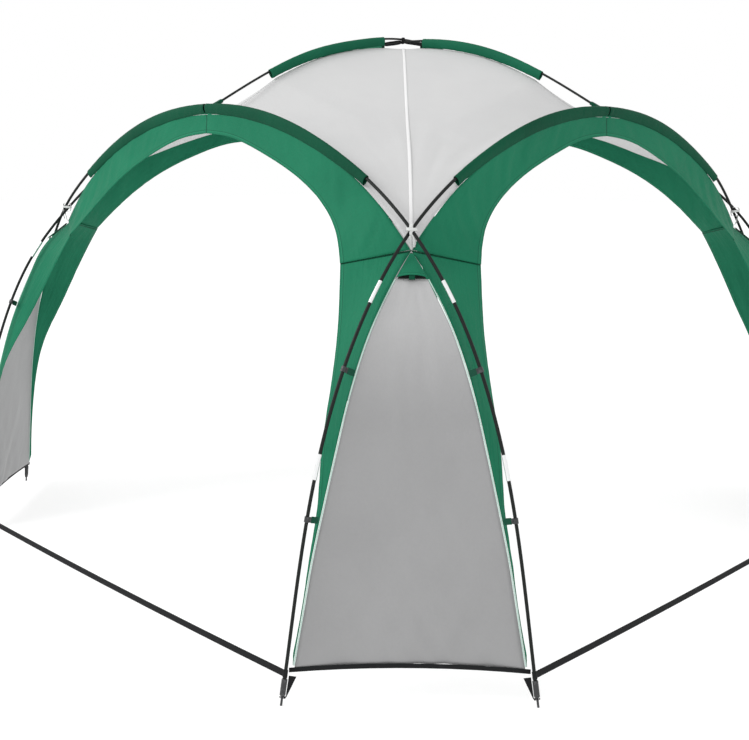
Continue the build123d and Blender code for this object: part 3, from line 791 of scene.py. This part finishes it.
def hood_lift(t, c, seed):
    """How far the hood stands off the mesh, from its top (t = 0) to its mouth and across it (c)."""
    ripple = 0.5 * t * fractal(c * 3, t * 3, seed)
    return 2.8 + HOOD_STAND * t + HOOD_LIFT * t**1.4 * (1 - abs(c) ** 2.4) + ripple


def hood_shape(seed):
    """A small awning of cloth over the vent: sewn along its top and sides, its mouth arched, with a tab."""
    rows, cols = 25, 29
    grid, uv = np.zeros((rows, cols, 3)), np.zeros((rows, cols, 2))
    for i in range(rows):
        t = i / (rows - 1)
        for j in range(cols):
            c = 2 * j / (cols - 1) - 1
            y = HOOD_FROM + (HOOD_TO - MOUTH_ARC * (1 - c * c) - HOOD_FROM) * t
            half = HOOD_HALF + HOOD_WIDENS * (y - HOOD_FROM) / (HOOD_TO - HOOD_FROM)
            grid[i, j] = knot_at + across * (c * half) + down * y + face * hood_lift(t, c, seed)
            uv[i, j] = (c * half, HOOD_TO - y)
    tab, tab_uv = np.zeros((9, 5, 3)), np.zeros((9, 5, 2))
    for i in range(9):
        for j in range(5):
            x, y = (j / 4 - 0.5) * TAB_WIDE, HOOD_TO - MOUTH_ARC - TAB_LONG / 2 + TAB_LONG * i / 8
            t = min(1.0, (y - HOOD_FROM) / (HOOD_TO - MOUTH_ARC - HOOD_FROM))
            sink = TAB_SINK if t < 1 else TAB_SINK + 0.5 * (y - HOOD_TO + MOUTH_ARC)
            lift = hood_lift(t, x / (HOOD_HALF + HOOD_WIDENS), seed) - sink
            tab[i, j] = knot_at + across * x + down * y + face * lift
            tab_uv[i, j] = (x, 30 + y)
    return grid * MM, uv * MM, tab * MM, tab_uv * MM


for k, name in enumerate(CORNERS):
    grid, uv, tab, tab_uv = hood_shape(100 + k)
    hood = make_grid(f"vent_hood_cloth_{name}", turned(grid, k), green, uv)
    piece(hood, [f"vent_hood_{name}"], f"vent_hood_{name}")
    # the tab takes the sleeves' darker green, which is painted shade
    flap = make_grid(f"vent_hood_tab_{name}", turned(tab, k), green_sleeve_shaded, tab_uv)
    piece(flap, [f"vent_hood_{name}"], f"vent_hood_{name}")

# ---------------------------------------------------------------- ties round the crossings

CROSS_UP = dict(ARCH)[PLANE]  # height of a crossing
out_way = np.array((1, -1, 0)) / ROOT2
upward = np.array((0, 0, 1.0))


def wrap(centre, way_a, way_b, reach_a, reach_b, width, seed, count=40):
    """A turn of tape round a crossing, in the plane of two directions."""
    wide = np.cross(way_a, way_b)
    grid, uv = np.zeros((count, 4, 3)), np.zeros((count, 4, 2))
    for i in range(count):
        angle = 2 * math.pi * i / count
        c, d = math.cos(angle), math.sin(angle)
        grow = (abs(c)**4 + abs(d)**4) ** -0.25
        skew = 2.5 * math.sin(angle + seed) + 0.8 * fractal(c * 2, d * 2, seed)
        for j in range(4):
            grid[i, j] = centre + way_a * (reach_a * c * grow) + way_b * (reach_b * d * grow)
            grid[i, j] += wide * ((j / 3 - 0.5) * width + skew)
            uv[i, j] = (i * 3.2, j * width / 3)
    return grid * MM, uv * MM


def tail(start, middle, end, wide_a, wide_b, count=14):
    """A flat end of tape along a smooth curve."""
    line = smooth_curve([start, middle, end], count)
    grid, uv = np.zeros((count, 3, 3)), np.zeros((count, 3, 2))
    for i in range(count):
        wide = wide_a + (wide_b - wide_a) * i / (count - 1)
        for j in range(3):
            grid[i, j] = line[i] + across * ((j / 2 - 0.5) * wide)
            uv[i, j] = (i * 3, (j / 2 - 0.5) * wide)
    return grid * MM, uv * MM


cross = np.array(corner(0, PLANE * ROOT2, CROSS_UP))
TIE = {
    "loop_a": (wrap(cross, out_way, upward, 18.5, 21, 13, 1), True),
    "loop_b": (wrap(cross + upward * 2, out_way, across, 19.5, 18, 11, 2), True),
    "tail_a": (tail(np.array(corner(-3, 1648, 1504)), np.array(corner(-4, 1642, 1480)),
                    np.array(corner(0, 1636, 1457)), 12, 6), False),
    "tail_b": (tail(np.array(corner(6, 1652, 1508)), np.array(corner(10, 1650, 1486)),
                    np.array(corner(7, 1645, 1466)), 11, 9), False),
}
for k, name in enumerate(CORNERS):
    for part, ((grid, uv), closed) in TIE.items():
        band = make_grid(f"crossing_tie_{part}_{name}", turned(grid, k), tie_tape, uv, ring=closed)
        piece(band, ["crossing_ties"])

# the bow at the apex: a knot round both poles, two loops and two short ends
APEX_UP, BOW_TILT = ROOF[0][1], math.radians(48)
bow_side = across * math.cos(0.1) + upward * math.sin(0.1)
bow_up = upward * math.cos(BOW_TILT) - out_way * math.sin(BOW_TILT)
apex = np.array((0, 0, APEX_UP))
BOW = {"knot": (wrap(apex, upward, bow_side, 13.5, 9, 12, 5), True),
       "band": (wrap(apex, upward, out_way, 13.0, 9, 11, 7), True)}
for n, (way, reach, drop) in enumerate(((1, 44, -13), (-1, 40, -12))):
    middle = apex + across * way * (reach + 8) + upward * drop
    tilt = across * way * math.cos(0.16) - upward * math.sin(0.16)
    BOW[f"loop_{n}"] = (wrap(middle, tilt, bow_up, reach, 7.5, 9, 9 + n), True)
    start = apex + across * way * 6 - upward * 8
    BOW[f"end_{n}"] = (tail(start, start + across * way * 22 - upward * 6 + out_way * 10,
                            start + across * way * 58 - upward * 9 + out_way * 14, 9, 8), False)
for part, ((grid, uv), closed) in BOW.items():
    band = make_grid(f"apex_tie_{part}", grid, webbing, uv, thick=0.0014, ring=closed)
    piece(band, ["apex_tie"])

# ---------------------------------------------------------------- floor, light and camera

floor_mat, nodes, links, bsdf = new_material("white studio floor", (0.5, 0.5, 0.5), 0.9, spec=0.1)
bsdf.inputs["Emission Color"].default_value = (1, 1, 1, 1)
bsdf.inputs["Emission Strength"].default_value = 0.6
floor_tex = node(nodes, "ShaderNodeTexNoise", Scale=1.5, Detail=3.0)
links.new(mix_color(nodes, links, floor_tex.outputs["Fac"], (0.49, 0.49, 0.49), (0.51, 0.51, 0.51)),
          bsdf.inputs["Base Color"])
floor_mesh = bpy.data.meshes.new("floor")
REACH = 40.0
floor_mesh.from_pydata([(-REACH, -REACH, 0), (REACH, -REACH, 0), (REACH, REACH, 0), (-REACH, REACH, 0)],
                       [], [(0, 1, 2, 3)])
floor = bpy.data.objects.new("floor", floor_mesh)
bpy.context.collection.objects.link(floor)
floor_mesh.materials.append(floor_mat)

world = bpy.data.worlds.new("studio")
world.use_nodes = True
world.node_tree.nodes["Background"].inputs["Color"].default_value = (1, 1, 1, 1)
world.node_tree.nodes["Background"].inputs["Strength"].default_value = 1.0
bpy.context.scene.world = world
bpy.context.scene.view_settings.view_transform = "Standard"


def area_light(name, place, target, size, power):
    """A square area light at a place in metres, aimed at a target, in watts."""
    data = bpy.data.lights.new(name, "AREA")
    data.energy, data.size = power, size
    obj = bpy.data.objects.new(name, data)
    obj.location = place
    obj.rotation_euler = (Vector(target) - Vector(place)).to_track_quat("-Z", "Y").to_euler()
    bpy.context.collection.objects.link(obj)


area_light("key", (-2.5, -6.0, 5.5), (0.0, -0.6, 1.2), 2.5, 190)

AZIMUTH, DISTANCE, HEIGHT = 43.7, 5.2753, 1.7478  # degrees, metres from the centre, metres up
PAN, TILT, ROLL = 1.3517, -11.0137, 0.3888  # degrees
LENS = 51.29

azimuth, yaw = math.radians(AZIMUTH), math.radians(AZIMUTH + PAN)
tilt, roll = math.radians(TILT), math.radians(ROLL)
forward = Vector((-math.sin(yaw) * math.cos(tilt), math.cos(yaw) * math.cos(tilt), math.sin(tilt)))
right = forward.cross(Vector((0, 0, 1))).normalized()
up = right.cross(forward)
right_rolled = right * math.cos(roll) + up * math.sin(roll)
up_rolled = up * math.cos(roll) - right * math.sin(roll)
camera_data = bpy.data.cameras.new("camera")
camera_data.lens, camera_data.sensor_width, camera_data.sensor_fit = LENS, 36.0, "HORIZONTAL"
camera_data.clip_end = 200
camera = bpy.data.objects.new("camera", camera_data)
turn = Matrix((right_rolled, up_rolled, -forward)).transposed().to_4x4()
camera.matrix_world = Matrix.Translation(
    (DISTANCE * math.sin(azimuth), -DISTANCE * math.cos(azimuth), HEIGHT)) @ turn
bpy.context.collection.objects.link(camera)
bpy.context.scene.camera = camera
